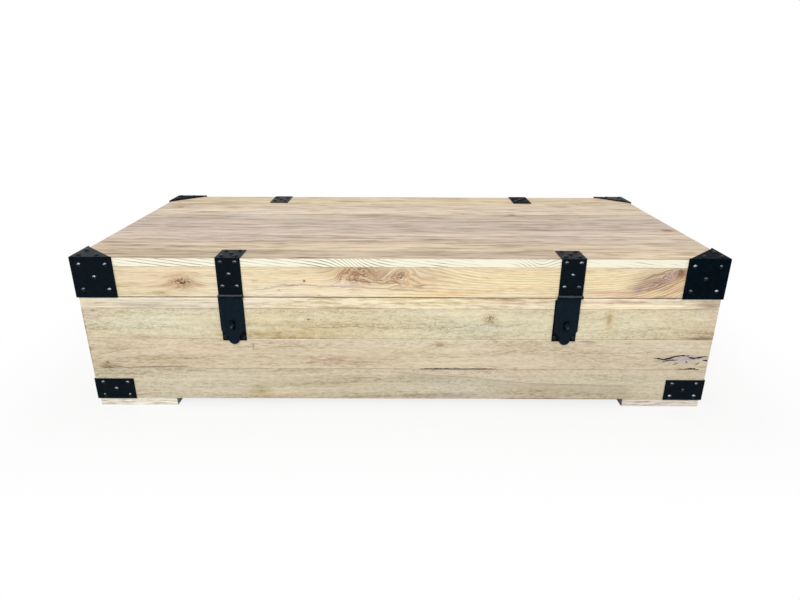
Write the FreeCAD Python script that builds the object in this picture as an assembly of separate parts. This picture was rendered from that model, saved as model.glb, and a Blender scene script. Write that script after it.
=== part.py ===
import FreeCAD, Part
import math
import os

# Mule chest: a long, low pine trunk on four block feet. Its lid lifts on two
# strap hinges and is held by a slotted stay at each end. Two hasps close it
# over turn staples, and iron plates nailed with domed nails fold round its
# corners. +Z is up, X runs along the chest, its front faces -Y, and the origin
# is on the floor under the middle of the chest. All sizes are in millimetres.

V = FreeCAD.Vector
X, Y, Z = V(1, 0, 0), V(0, 1, 0), V(0, 0, 1)

# ---- timber ----
chest_length = 1400.0
chest_depth = 700.0
board_thickness = 18.0
lower_board_height = 77.0
middle_board_height = 74.0
upper_board_height = 72.0
top_rail_height = 26.0
lid_apron_height = 69.0
lid_top_thickness = 19.0
lid_stave_count = 11
edge_ease = 1.0              # chamfer along the outer edges of the timber
bottom_thickness = 12.0
bottom_groove_depth = 6.0
bottom_rise = 10.0           # underside of the bottom above the lower edge of the walls
foot_length = 179.0
foot_depth = 90.0
foot_height = 20.0
foot_front_inset = 3.0
foot_end_inset = 2.0

# ---- dowels and screws in the timber ----
dowel_radius = 4.0
dowel_length = 30.0
dowel_depth_in_face = 12.0
dowel_drop = 20.0            # dowel below the top edge of its board
wood_fit = 0.05              # radial room round a dowel, nail or screw
hole_end_room = 0.5          # a blind hole is this much deeper than what it holds
foot_screw_radius = 2.25
foot_screw_head_radius = 4.5
foot_screw_head_height = 3.0
foot_screw_length = 33.0
foot_screw_recess = 2.0
foot_screw_inset = 45.0      # from each end of the foot

# ---- iron plates ----
plate = 2.0
fold_radius = 1.4            # outside radius where a plate is folded
lid_corner_thickness = 3.5
lid_corner_leg = 89.5
body_corner_leg = 90.0
body_corner_height = 51.0
strap_width = 53.0
hasp_strap_top_length = 65.0
hinge_strap_top_length = 100.0
left_strap_x = -368.0
right_strap_x = 370.0
hinge_leaf_height = 75.0
back_plate_top = 7.0         # back plate of the hasp, measured below the hinge line
back_plate_bottom = 105.0
left_back_plate_shift = -1.0  # from the middle of the strap, as fitted by hand
right_back_plate_shift = -5.0

# ---- domed nails ----
nail_head_radius = 5.5
nail_head_height = 3.2
nail_shank_radius = 1.25
nail_length = 12.0
corner_nail_pitch = 56.0
corner_nail_offset = 20.0    # first nail from the folded corner
body_nail_pitch = 32.0
strap_nail_pitch = 31.0
strap_front_nail_top = 10.0
strap_front_nail_pitch = 54.0
hasp_strap_top_nail = 14.5   # first nail of the top from the edge of the lid
hasp_strap_top_pitch = 40.0
hinge_strap_top_nail = 27.0
hinge_strap_top_pitch = 50.0
leaf_nail_pitch = 44.0
triangle_nail_inset = 15.0
back_plate_nail_side = 5.6
back_plate_nail_rise = 9.0

# ---- knuckles and pins ----
hinge_rise = 4.0             # hinge lines above the seam
pin_radius = 2.0
knuckle_radius = 4.0
knuckle_stand_off = 0.5      # between the knuckles and the timber
knuckle_gap = 0.3
fixed_fit = 0.02             # radial room of a pin in the knuckles that hold it
running_fit = 0.08           # radial room of a pin in the knuckle that turns on it
pin_head_radius = 3.2
pin_head_thickness = 1.0

# ---- hasp flap ----
flap_length = 113.0
flap_shoulder = 80.0
flap_gap = 0.4               # between the flap and its back plate
flap_edge_round = 0.5
tongue_width = 24.0
left_flap_shift = -2.0       # from the middle of the strap, as fitted by hand
right_flap_shift = -3.0
slot_width = 12.0
slot_length = 24.0
slot_centre = 67.0

# ---- turn staple ----
shank_radius = 3.0
collar_radius = 6.0
collar_thickness = 2.0
collar_room = 0.3
eye_thickness = 5.0
eye_radius = 10.0
eye_bore_radius = 6.0
eye_base = 3.0
eye_gap = 0.8                # between the flap and the eye when it is turned across

# ---- lid stays ----
lid_opening = 95.0           # degrees
stay_reach = 130.0           # both studs lie this far from the hinge axis
lid_stud_angle = 20.3        # degrees above the hinge line, seen from it
body_stud_angle = 5.3        # degrees below the hinge line
stay_thickness = 3.0
stay_half_width = 8.0
stay_side_gap = 0.5
stud_radius = 3.0
stud_flange_radius = 5.0
stud_flange_thickness = 3.0
stud_head_radius = 6.0
stud_head_thickness = 2.5
stud_screw_radius = 2.25
stud_screw_length = 13.0
slot_end_room = 0.5

# ---- what follows from the sizes ----
LENGTH_END = chest_length / 2
DEPTH_END = chest_depth / 2
BOARDS = (
    ("board_lower", lower_board_height),
    ("board_middle", middle_board_height),
    ("board_upper", upper_board_height),
    ("top_rail", top_rail_height),
)
SEAM = foot_height + sum(height for name, height in BOARDS)
HINGE_Z = SEAM + hinge_rise
LID_PANEL = SEAM + lid_apron_height
TOP = LID_PANEL + lid_top_thickness
KNUCKLE_OUT = DEPTH_END + knuckle_stand_off + knuckle_radius
KNUCKLE_HALF = strap_width / 6
STRAP_X = {"left": left_strap_x, "right": right_strap_x}
FLAP_X = {"left": left_strap_x + left_flap_shift, "right": right_strap_x + right_flap_shift}
BACK_PLATE_X = {"left": left_strap_x + left_back_plate_shift, "right": right_strap_x + right_back_plate_shift}
END_X = {"left": -1, "right": 1}
SIDE_Y = {"front": -1, "back": 1}

parts = {}
wood_cuts = []
plate_cuts = []
nails = {"lid": [], "body": []}


def block(x0, x1, y0, y1, z0, z1):
    """Box between two values on each axis, in either order."""
    low = V(min(x0, x1), min(y0, y1), min(z0, z1))
    return Part.makeBox(abs(x1 - x0), abs(y1 - y0), abs(z1 - z0), low)


def rod(radius, start, end):
    """Round bar from one point to another."""
    return Part.makeCylinder(radius, (end - start).Length, start, end - start)


def turned(points, at, direction):
    """Solid turned about its own axis from (radius, height) points, then set along a direction."""
    wire = Part.makePolygon([V(r, 0, h) for r, h in points + points[:1]])
    solid = Part.Face(wire).revolve(V(), Z, 360)
    return placed(solid, at, direction)


def placed(solid, at, direction):
    copy = solid.copy()
    copy.Placement = FreeCAD.Placement(at, FreeCAD.Rotation(Z, direction))
    return copy


def obround(start, end, radius, thickness):
    """Plate with round ends, about two centres, raised by a thickness vector."""
    along = (end - start).normalize() * radius
    across = along.cross(thickness).normalize() * radius
    edges = [
        Part.makeLine(start + across, end + across),
        Part.Arc(end + across, end + along, end - across).toShape(),
        Part.makeLine(end - across, start - across),
        Part.Arc(start - across, start - along, start + across).toShape(),
    ]
    return Part.Face(Part.Wire(edges)).extrude(thickness)


def near(a, b):
    return abs(a - b) < 1e-6


def eased(shape):
    """Chamfer the edges where two outer planes of the chest or of its lid meet."""
    def outer_planes(point):
        sides = near(abs(point.x), LENGTH_END) + near(abs(point.y), DEPTH_END)
        levels = any(near(point.z, level) for level in (foot_height, SEAM, TOP))
        return sides + levels

    edges = [e for e in shape.Edges if outer_planes(e.CenterOfMass) > 1]
    return shape.makeChamfer(edge_ease, edges) if edges else shape


def bored(shape, cuts):
    """Cut away those of the cuts that reach the shape."""
    reached = [cut for cut in cuts if cut.BoundBox.intersect(shape.BoundBox)]
    return shape.cut(reached).removeSplitter() if reached else shape


def folded(shape, *creases):
    """Round the outside of a plate's folds. A crease is a dict of the coordinates that it keeps."""
    def on_crease(edge):
        ends = [vertex.Point for vertex in edge.Vertexes]
        return any(
            all(near(getattr(end, axis), value) for end in ends for axis, value in crease.items())
            for crease in creases
        )

    edges = [edge for edge in shape.Edges if on_crease(edge)]
    return shape.makeFillet(fold_radius, edges) if edges else shape


# ---- domed nails ----
def domed_nail():
    dome = (nail_head_radius**2 + nail_head_height**2) / (2 * nail_head_height)
    half = math.asin(nail_head_radius / dome) / 2
    middle = V(dome * math.sin(half), 0, nail_head_height - dome * (1 - math.cos(half)))
    crown, rim = V(0, 0, nail_head_height), V(nail_head_radius, 0, 0)
    outline = [
        Part.Arc(crown, middle, rim).toShape(),
        Part.makeLine(rim, V(nail_shank_radius, 0, 0)),
        Part.makeLine(V(nail_shank_radius, 0, 0), V(nail_shank_radius, 0, -nail_length)),
        Part.makeLine(V(nail_shank_radius, 0, -nail_length), V(0, 0, -nail_length)),
        Part.makeLine(V(0, 0, -nail_length), crown),
    ]
    return Part.Face(Part.Wire(outline)).revolve(V(), Z, 360)


NAIL = domed_nail()


def drive(body, at, outward):
    """Drive a nail through a plate whose outer face holds the point."""
    nails[body].append(placed(NAIL, at, outward))
    start = at + outward * hole_end_room
    end = at - outward * (nail_length + hole_end_room)
    hole = rod(nail_shank_radius + wood_fit, start, end)
    wood_cuts.append(hole)
    plate_cuts.append(hole)


def five_nails(body, centre, across, up, outward):
    """Four nails in a rectangle of two half pitches, and one in its middle."""
    drive(body, centre, outward)
    for a in (-1, 1):
        for b in (-1, 1):
            drive(body, centre + across * a + up * b, outward)


# ---- iron corner plates ----
def corner_plate(side_x, side_y, thickness, leg, low, high):
    """Plate folded round a vertical corner of the chest."""
    out_x, out_y = side_x * (LENGTH_END + thickness), side_y * (DEPTH_END + thickness)
    along = block(out_x, out_x - side_x * leg, out_y, out_y - side_y * thickness, low, high)
    across = block(out_x, out_x - side_x * thickness, out_y, out_y - side_y * leg, low, high)
    return along.fuse(across).removeSplitter(), out_x, out_y


def nail_corner(body, side_x, side_y, out_x, out_y, middle, half_height):
    """Five nails on each of the two legs."""
    half = corner_nail_pitch / 2
    reach = corner_nail_offset + half
    face = V(out_x - side_x * reach, out_y, middle)
    five_nails(body, face, X * half, Z * half_height, Y * side_y)
    face = V(out_x, out_y - side_y * reach, middle)
    five_nails(body, face, Y * half, Z * half_height, X * side_x)


def make_lid_corner(name, side_x, side_y):
    lid_top = TOP + lid_corner_thickness
    shell, out_x, out_y = corner_plate(side_x, side_y, lid_corner_thickness, lid_corner_leg, SEAM, lid_top)
    corners = [
        V(out_x, out_y, TOP),
        V(out_x - side_x * lid_corner_leg, out_y, TOP),
        V(out_x, out_y - side_y * lid_corner_leg, TOP),
    ]
    triangle = Part.Face(Part.makePolygon(corners + corners[:1])).extrude(Z * lid_corner_thickness)
    shell = shell.fuse(triangle).removeSplitter()
    parts[name] = folded(shell, {"x": out_x, "y": out_y}, {"x": out_x, "z": lid_top},
                         {"y": out_y, "z": lid_top})
    middle = (HINGE_Z + TOP) / 2
    nail_corner("lid", side_x, side_y, out_x, out_y, middle, corner_nail_pitch / 2)
    far = lid_corner_leg - triangle_nail_inset * (1 + math.sqrt(2))
    for reach_x, reach_y in ((0, 0), (1, 0), (0, 1)):
        inward_x = side_x * (triangle_nail_inset + reach_x * (far - triangle_nail_inset))
        inward_y = side_y * (triangle_nail_inset + reach_y * (far - triangle_nail_inset))
        drive("lid", V(out_x - inward_x, out_y - inward_y, lid_top), Z)


def make_body_corner(name, side_x, side_y):
    high = foot_height + body_corner_height
    shell, out_x, out_y = corner_plate(side_x, side_y, plate, body_corner_leg, foot_height, high)
    parts[name] = folded(shell, {"x": out_x, "y": out_y})
    middle = (foot_height + high) / 2
    nail_corner("body", side_x, side_y, out_x, out_y, middle, body_nail_pitch / 2)


for end, side_x in END_X.items():
    for side, side_y in SIDE_Y.items():
        make_lid_corner(f"lid_corner_{side}_{end}", side_x, side_y)
        make_body_corner(f"body_corner_{side}_{end}", side_x, side_y)


# ---- straps, hinge leaves and pins ----
def knuckle(x0, x1, side_y, bore):
    """Ring about the hinge line, and the hole through it."""
    start, end = V(x0, side_y * KNUCKLE_OUT, HINGE_Z), V(x1, side_y * KNUCKLE_OUT, HINGE_Z)
    return rod(knuckle_radius, start, end), rod(bore, start - X, end + X)


def make_strap(name, x, side_y, top_length, top_nail, top_pitch):
    """Strap folded over the edge of the lid, with a knuckle at each side of its lower end."""
    half = strap_width / 2
    wood, out = side_y * DEPTH_END, side_y * (DEPTH_END + plate)
    strap_top = TOP + plate
    clear = HINGE_Z + math.sqrt((knuckle_radius + knuckle_gap)**2 - (KNUCKLE_OUT - DEPTH_END - plate)**2)
    body = block(x - half, x + half, wood, out, clear, strap_top)
    body = body.fuse(block(x - half, x + half, out, out - side_y * top_length, TOP, strap_top))
    body = folded(body.removeSplitter(), {"y": out, "z": strap_top})
    for side_x in (-1, 1):
        inner = x + side_x * (KNUCKLE_HALF + knuckle_gap / 2)
        outer = x + side_x * half
        ring, bore = knuckle(min(inner, outer), max(inner, outer), side_y, pin_radius + fixed_fit)
        body = body.fuse([block(inner, outer, wood, out, HINGE_Z, clear), ring]).cut(bore)
    parts[name] = body.removeSplitter()

    across = X * (strap_nail_pitch / 2)
    half_pitch = strap_front_nail_pitch / 2
    face = V(x, out, strap_top - strap_front_nail_top - half_pitch)
    five_nails("lid", face, across, Z * half_pitch, Y * side_y)
    half_pitch = top_pitch / 2
    face = V(x, out - side_y * (top_nail + half_pitch), strap_top)
    five_nails("lid", face, across, Y * half_pitch, Z)


def make_pin(name, x, side_y):
    half = strap_width / 2
    line = (side_y * KNUCKLE_OUT, HINGE_Z)
    pin = rod(pin_radius, V(x - half, *line), V(x + half, *line))
    heads = [
        rod(pin_head_radius, V(x + side * half, *line), V(x + side * (half + pin_head_thickness), *line))
        for side in (-1, 1)
    ]
    parts[name] = pin.fuse(heads).removeSplitter()


def middle_knuckle(x, side_y):
    half = KNUCKLE_HALF - knuckle_gap / 2
    return knuckle(x - half, x + half, side_y, pin_radius + running_fit)


def make_hinge_leaf(name, x):
    """Leaf on the back of the body, with the knuckle between the two of its strap."""
    half = strap_width / 2
    out = DEPTH_END + plate
    clear = HINGE_Z - knuckle_radius - knuckle_gap
    low = HINGE_Z - hinge_leaf_height
    tab = KNUCKLE_HALF - knuckle_gap / 2
    ring, bore = middle_knuckle(x, 1)
    leaf = block(x - half, x + half, DEPTH_END, out, low, clear)
    leaf = leaf.fuse([block(x - tab, x + tab, DEPTH_END, out, clear, HINGE_Z), ring]).cut(bore)
    parts[name] = leaf.removeSplitter()
    face = V(x, out, (low + clear) / 2)
    five_nails("body", face, X * (strap_nail_pitch / 2), Z * (leaf_nail_pitch / 2), Y)


for side, x in STRAP_X.items():
    make_strap(f"hasp_strap_{side}", x, -1,
               hasp_strap_top_length, hasp_strap_top_nail, hasp_strap_top_pitch)
    make_strap(f"hinge_strap_{side}", x, 1,
               hinge_strap_top_length, hinge_strap_top_nail, hinge_strap_top_pitch)
    make_pin(f"hasp_pin_{side}", x, -1)
    make_pin(f"hinge_pin_{side}", x, 1)
    make_hinge_leaf(f"hinge_leaf_{side}", x)

# ---- hasps: flap, back plate and turn staple ----
FLAP_BACK = -(DEPTH_END + plate + flap_gap)
FLAP_FRONT = FLAP_BACK - plate
STAPLE_Z = HINGE_Z - slot_centre


def make_flap(name, x, knuckle_x):
    """Flap hung from the middle knuckle, narrowing through sloped shoulders to a round tongue."""
    half, tongue = strap_width / 2, tongue_width / 2
    high = HINGE_Z - knuckle_radius - knuckle_gap
    shoulder = HINGE_Z - flap_shoulder
    neck = shoulder - (half - tongue)
    round_centre = HINGE_Z - flap_length + tongue
    outline = [(-half, high), (-half, shoulder), (-tongue, neck), (-tongue, round_centre)]
    left = [V(x + u, FLAP_BACK, z) for u, z in outline]
    right = [V(x - u, FLAP_BACK, z) for u, z in reversed(outline)]
    tip = V(x, FLAP_BACK, HINGE_Z - flap_length)
    edges = Part.makePolygon(left).Edges + [Part.Arc(left[-1], tip, right[0]).toShape()]
    edges += Part.makePolygon(right + left[:1]).Edges
    flap = Part.Face(Part.Wire(edges)).extrude(Y * -plate)
    rim = [e for e in flap.Edges if near(e.BoundBox.YMin, FLAP_FRONT) and near(e.BoundBox.YMax, FLAP_FRONT)
           and e.BoundBox.ZMax < high + knuckle_gap and e.BoundBox.ZMin < high - knuckle_gap]
    flap = flap.makeFillet(flap_edge_round, rim)
    tab = KNUCKLE_HALF - knuckle_gap / 2
    ring, bore = middle_knuckle(knuckle_x, -1)
    neck_piece = block(knuckle_x - tab, knuckle_x + tab, FLAP_BACK, FLAP_FRONT, high, HINGE_Z)
    flap = flap.fuse([neck_piece, ring]).cut(bore)
    half_run = (slot_length - slot_width) / 2
    slot = obround(V(x, FLAP_BACK + plate, STAPLE_Z - half_run), V(x, FLAP_BACK + plate, STAPLE_Z + half_run),
                   slot_width / 2, Y * (-3 * plate))
    parts[name] = flap.cut(slot).removeSplitter()


def make_back_plate(name, x, staple_x):
    half = strap_width / 2
    low, high = HINGE_Z - back_plate_bottom, HINGE_Z - back_plate_top
    back = block(x - half, x + half, -DEPTH_END, -DEPTH_END - plate, low, high)
    hole = rod(shank_radius + running_fit, V(staple_x, -DEPTH_END, STAPLE_Z),
               V(staple_x, -DEPTH_END - plate, STAPLE_Z))
    parts[name] = back.cut(hole)
    for side_x in (-1, 1):
        nail_x = x + side_x * (half - back_plate_nail_side)
        drive("body", V(nail_x, -DEPTH_END - plate, low + back_plate_nail_rise), -Y)


def make_turn_staple(name, x):
    """Eye on a round shank. The collar behind the back plate keeps it in and lets it turn."""
    collar_front = -DEPTH_END + collar_room / 2
    collar_back = collar_front + collar_thickness
    base = FLAP_FRONT - eye_gap
    arch_centre = base - eye_base
    half = eye_thickness / 2
    shank = rod(shank_radius, V(x, collar_back, STAPLE_Z), V(x, (base + arch_centre) / 2, STAPLE_Z))
    collar = rod(collar_radius, V(x, collar_front, STAPLE_Z), V(x, collar_back, STAPLE_Z))
    foot = block(x - half, x + half, base, arch_centre, STAPLE_Z - eye_radius, STAPLE_Z + eye_radius)
    low, high = V(x - half, arch_centre, STAPLE_Z - eye_radius), V(x - half, arch_centre, STAPLE_Z + eye_radius)
    crown = V(x - half, arch_centre - eye_radius, STAPLE_Z)
    arch = Part.Face(Part.Wire([Part.Arc(low, crown, high).toShape(), Part.makeLine(high, low)]))
    arch = arch.extrude(X * eye_thickness)
    centre = V(x, arch_centre, STAPLE_Z)
    arch = arch.cut(rod(eye_bore_radius, centre - X * eye_thickness, centre + X * eye_thickness))
    parts[name] = foot.fuse([arch, shank, collar]).removeSplitter()
    wood_cuts.append(rod(collar_radius + running_fit, V(x, -DEPTH_END, STAPLE_Z),
                         V(x, collar_back + collar_room, STAPLE_Z)))


for side, x in FLAP_X.items():
    make_flap(f"hasp_flap_{side}", x, STRAP_X[side])
    make_back_plate(f"hasp_back_plate_{side}", BACK_PLATE_X[side], x)
    make_turn_staple(f"turn_staple_{side}", x)


# ---- lid stays ----
# Both studs lie equally far from the hinge axis, so the arm turns on the lid
# by half the angle of the lid while the stud on the body runs along its slot.
def stud_place(angle):
    """Place (y, z) of a stud seen at an angle above the hinge line from the hinge axis."""
    turn = math.radians(angle)
    return KNUCKLE_OUT - stay_reach * math.cos(turn), HINGE_Z + stay_reach * math.sin(turn)


def make_stud(side_x, place):
    """Shouldered screw: thread in the wall, flange on it, stud for the arm, and head."""
    wall = LENGTH_END - board_thickness
    flange = stud_flange_thickness
    stud = flange + stay_thickness + 2 * stay_side_gap
    head = stud + stud_head_thickness
    profile = [(0, -stud_screw_length), (stud_screw_radius, -stud_screw_length), (stud_screw_radius, 0),
               (stud_flange_radius, 0), (stud_flange_radius, flange), (stud_radius, flange),
               (stud_radius, stud), (stud_head_radius, stud), (stud_head_radius, head), (0, head)]
    at = V(side_x * wall, *place)
    wood_cuts.append(rod(stud_screw_radius + wood_fit, at,
                         at + X * side_x * (stud_screw_length + hole_end_room)))
    return turned(profile, at, X * -side_x)


def make_stay(name, side_x):
    inner = LENGTH_END - board_thickness - stud_flange_thickness - stay_side_gap
    x = side_x * (inner - stay_thickness)
    lid_stud, body_stud = V(x, *stud_place(lid_stud_angle)), V(x, *stud_place(-body_stud_angle))
    direction = (body_stud - lid_stud).normalize()
    closed = lid_stud_angle + body_stud_angle
    first = 2 * stay_reach * math.sin(math.radians(closed / 2)) - slot_end_room
    last = 2 * stay_reach * math.sin(math.radians((closed + lid_opening) / 2)) + slot_end_room
    thickness = X * side_x * stay_thickness
    arm = obround(lid_stud, lid_stud + direction * last, stay_half_width, thickness)
    hole_radius = stud_radius + running_fit
    slot = obround(lid_stud + direction * first, lid_stud + direction * last, hole_radius, thickness)
    hole = rod(hole_radius, lid_stud, lid_stud + thickness)
    parts[name] = arm.cut([slot, hole])


for end, side_x in END_X.items():
    make_stay(f"lid_stay_{end}", side_x)
lid_studs = [make_stud(side_x, stud_place(lid_stud_angle)) for side_x in END_X.values()]
body_studs = [make_stud(side_x, stud_place(-body_stud_angle)) for side_x in END_X.values()]
parts["stay_pivot_screws"] = Part.makeCompound(lid_studs)
parts["stay_guide_screws"] = Part.makeCompound(body_studs)


# ---- dowels through the corner joints ----
def corner_dowels(height):
    """One dowel at each corner, from the front or back board into the end board."""
    dowels = []
    x = LENGTH_END - board_thickness / 2
    for side_x in END_X.values():
        for side_y in SIDE_Y.values():
            tip = DEPTH_END - board_thickness + dowel_depth_in_face
            start = V(side_x * x, side_y * tip, height)
            end = V(side_x * x, side_y * (tip - dowel_length), height)
            room = (end - start).normalize() * hole_end_room
            dowels.append(rod(dowel_radius, start, end))
            wood_cuts.append(rod(dowel_radius + wood_fit, start - room, end + room))
    return dowels


body_dowels = []
level = foot_height
for name, height in BOARDS:
    level += height
    body_dowels += corner_dowels(level - min(dowel_drop, height / 2))
parts["body_dowels"] = Part.makeCompound(body_dowels)
parts["lid_dowels"] = Part.makeCompound(corner_dowels(SEAM + lid_apron_height / 2))

# ---- feet and their screws ----
foot_screws = []
for end, side_x in END_X.items():
    for side, side_y in SIDE_Y.items():
        outer = LENGTH_END - foot_end_inset
        face = DEPTH_END - foot_front_inset
        foot = block(side_x * outer, side_x * (outer - foot_length), side_y * face,
                     side_y * (face - foot_depth), 0, foot_height)
        foot = foot.makeChamfer(edge_ease, [e for e in foot.Edges if near(e.BoundBox.ZMax, 0)])
        foot_cuts = []
        for from_end in (foot_screw_inset, foot_length - foot_screw_inset):
            x = side_x * (outer - from_end)
            y = side_y * (DEPTH_END - board_thickness / 2)
            head = foot_screw_recess
            shoulder = head + foot_screw_head_height
            point = head + foot_screw_length
            foot_screws.append(turned(
                [(0, head), (foot_screw_head_radius, head), (foot_screw_radius, shoulder),
                 (foot_screw_radius, point), (0, point)], V(x, y, 0), Z))
            shaft = foot_screw_radius + wood_fit
            sink = foot_screw_head_radius + wood_fit
            top = point + hole_end_room
            hole = turned([(0, 0), (sink, 0), (sink, head), (shaft, shoulder), (shaft, top), (0, top)],
                          V(x, y, 0), Z)
            foot_cuts.append(hole)
            wood_cuts.append(hole)
        parts[f"foot_{side}_{end}"] = foot.cut(foot_cuts)
parts["foot_screws"] = Part.makeCompound(foot_screws)


# ---- walls, bottom and lid ----
def wall(side, low, high):
    """A board of one wall. Front and back run the whole length, and the ends fit between them."""
    inner_x, inner_y = LENGTH_END - board_thickness, DEPTH_END - board_thickness
    if side in SIDE_Y:
        side_y = SIDE_Y[side]
        board = block(-LENGTH_END, LENGTH_END, side_y * DEPTH_END, side_y * inner_y, low, high)
    else:
        side_x = END_X[side]
        board = block(side_x * LENGTH_END, side_x * inner_x, -inner_y, inner_y, low, high)
    return eased(board)


panel_x = LENGTH_END - board_thickness + bottom_groove_depth
panel_y = DEPTH_END - board_thickness + bottom_groove_depth
panel_low = foot_height + bottom_rise
bottom = block(-panel_x, panel_x, -panel_y, panel_y, panel_low, panel_low + bottom_thickness)
parts["bottom_panel"] = bottom
wood_cuts.append(bottom)

for side in ("front", "back", "left", "right"):
    level = foot_height
    for name, height in BOARDS:
        parts[f"{side}_{name}"] = bored(wall(side, level, level + height), wood_cuts)
        level += height
    parts[f"lid_apron_{side}"] = bored(wall(side, SEAM, LID_PANEL), wood_cuts)

stave_width = chest_depth / lid_stave_count
staves = []
for index in range(lid_stave_count):
    y = -DEPTH_END + index * stave_width
    stave = block(-LENGTH_END, LENGTH_END, y, y + stave_width, LID_PANEL, TOP)
    staves.append(bored(eased(stave), wood_cuts))
parts["lid_top_staves"] = Part.makeCompound(staves)

# ---- holes in the iron, and the nails ----
for name, shape in parts.items():
    if name.startswith(("lid_corner", "body_corner", "hasp_strap", "hinge_strap", "hinge_leaf", "hasp_back")):
        parts[name] = bored(shape, plate_cuts)
parts["lid_nails"] = Part.makeCompound(nails["lid"])
parts["body_nails"] = Part.makeCompound(nails["body"])

os.makedirs("parts", exist_ok=True)
for name, shape in parts.items():
    shape.exportStep(f"parts/{name}.step")
    print(name, len(shape.Solids), shape.isValid(), round(shape.Volume))
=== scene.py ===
import math
import random

import bmesh
import bpy
from mathutils import Matrix, Vector


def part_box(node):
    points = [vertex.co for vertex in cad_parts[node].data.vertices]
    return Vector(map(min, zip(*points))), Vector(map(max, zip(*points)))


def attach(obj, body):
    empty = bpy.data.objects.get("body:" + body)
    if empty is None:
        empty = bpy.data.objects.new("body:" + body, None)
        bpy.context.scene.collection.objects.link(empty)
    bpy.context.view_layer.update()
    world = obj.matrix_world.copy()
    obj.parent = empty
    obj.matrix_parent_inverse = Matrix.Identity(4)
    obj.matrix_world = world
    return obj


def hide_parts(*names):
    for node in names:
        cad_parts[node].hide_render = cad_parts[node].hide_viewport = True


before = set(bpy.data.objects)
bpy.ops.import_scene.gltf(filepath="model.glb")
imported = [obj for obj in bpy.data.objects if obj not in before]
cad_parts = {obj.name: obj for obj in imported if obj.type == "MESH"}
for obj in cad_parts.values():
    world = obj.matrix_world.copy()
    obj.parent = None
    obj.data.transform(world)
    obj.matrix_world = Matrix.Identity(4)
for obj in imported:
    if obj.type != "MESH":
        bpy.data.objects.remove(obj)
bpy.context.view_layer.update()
draw = random.Random(1890)


# ---- walls ----
# Four boards stand on each other in every wall, glued edge to edge: three broad
# ones and a narrow rail under the lid. They are old pine, sawn, planed and waxed
# pale, and each board keeps its own tone, knots, stains and drying cracks.
class Wire:
    """An output of a node, used like a number, vector or colour in an expression."""

    def __init__(self, tree, socket=None):
        self.tree = tree
        self.socket = socket

    def node(self, kind, settings, sockets, output=0):
        """Add a node. Its settings come first, then a value or a wire for each of its sockets."""
        made = self.tree.nodes.new(kind)
        for key, value in settings.items():
            if key == "stops":
                scale = made.color_ramp.elements
                scale[0].position, scale[0].color = value[0]
                scale[-1].position, scale[-1].color = value[-1]
                for at, colour in value[1:-1]:
                    scale.new(at).color = colour
            elif key == "between_stops":
                made.color_ramp.interpolation = value
            else:
                setattr(made, key, value)
        fill_sockets(made, sockets)
        return Wire(self.tree, made.outputs[output] if made.outputs else None)

    def math(self, operation, *others):
        return self.node("ShaderNodeMath", {"operation": operation}, dict(enumerate((self, *others))))

    def __add__(self, other):
        return self.math("ADD", other)

    def __sub__(self, other):
        return self.math("SUBTRACT", other)

    def __rsub__(self, other):
        return self.math("MULTIPLY_ADD", -1.0, other)

    def __mul__(self, other):
        return self.math("MULTIPLY", other)

    def __truediv__(self, other):
        return self.math("DIVIDE", other)

    def __abs__(self):
        return self.math("ABSOLUTE")

    __radd__ = __add__
    __rmul__ = __mul__

    def rise(self, low, high):
        """0 at the low value, 1 at the high one, and smooth between them."""
        return self.node("ShaderNodeMapRange", {"interpolation_type": "SMOOTHSTEP"},
                         {"Value": self, "From Min": low, "From Max": high})

    def bell(self):
        """1 where a squared distance is nothing, fading outwards."""
        return (self * -1.0).math("EXPONENT")

    def blend(self, under, over):
        """Colour that goes from one to the other as this mask goes from 0 to 1."""
        return self.node("ShaderNodeMix", {"data_type": "RGBA"}, {0: self, 6: under, 7: over}, 2)

    def ramp(self, stops, between="LINEAR"):
        """Colour read from a scale of stops, each a place from 0 to 1 and a colour."""
        return self.node("ShaderNodeValToRGB", {"stops": stops, "between_stops": between}, {0: self})

    def times(self, factors):
        return self.node("ShaderNodeVectorMath", {"operation": "MULTIPLY"}, {0: self, 1: factors})

    def plus(self, amounts):
        return self.node("ShaderNodeVectorMath", {"operation": "ADD"}, {0: self, 1: amounts})

    def noise(self, detail=2.0, roughness=0.5):
        return self.node("ShaderNodeTexNoise", {}, {"Vector": self, "Scale": 1.0, "Detail": detail,
                                                     "Roughness": roughness})

    def part(self, index):
        return self.node("ShaderNodeSeparateXYZ", {}, {0: self}, index)

    def joined(self, second, third):
        return self.node("ShaderNodeCombineXYZ", {}, {0: self, 1: second, 2: third})


def fill_sockets(made, sockets):
    """Give each socket of a node its value, or link its wire."""
    for key, value in sockets.items():
        if isinstance(value, Wire):
            value.tree.links.new(value.socket, made.inputs[key])
        else:
            made.inputs[key].default_value = value


def new_material(name):
    """An empty material, its shader and its object coordinates."""
    material = bpy.data.materials.new(name)
    material.use_nodes = True
    tree = material.node_tree
    place = Wire(tree).node("ShaderNodeTexCoord", {}, {}, "Object")
    return material, tree.nodes["Principled BSDF"], place


def bumped(height, strength, distance):
    return height.node("ShaderNodeBump", {}, {"Strength": strength, "Distance": distance, "Height": height})


# The axes along a board, across it and through it.
RUNS = {"front": (0, 2, 1), "back": (0, 2, 1), "left": (1, 2, 0), "right": (1, 2, 0), "lid": (0, 1, 2)}
BOARD_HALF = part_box("front_board_middle")[1].x
FRONT_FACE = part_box("front_board_middle")[0].y

# How often each pattern of the wood comes in a metre, in the same three directions.
CLOUDS = (2.6, 12.0, 12.0)
WANDERING = (1.3, 5.0, 5.0)
RIPPLES = (11.0, 45.0, 45.0)
WHIRLS = (34.0, 50.0, 50.0)
FIBRES = (14.0, 700.0, 700.0)
SAW_MARKS = (90.0, 130.0, 130.0)
SPECKS = (260.0, 420.0, 260.0)
JAGS = (22.0, 3.0, 3.0)

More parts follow.
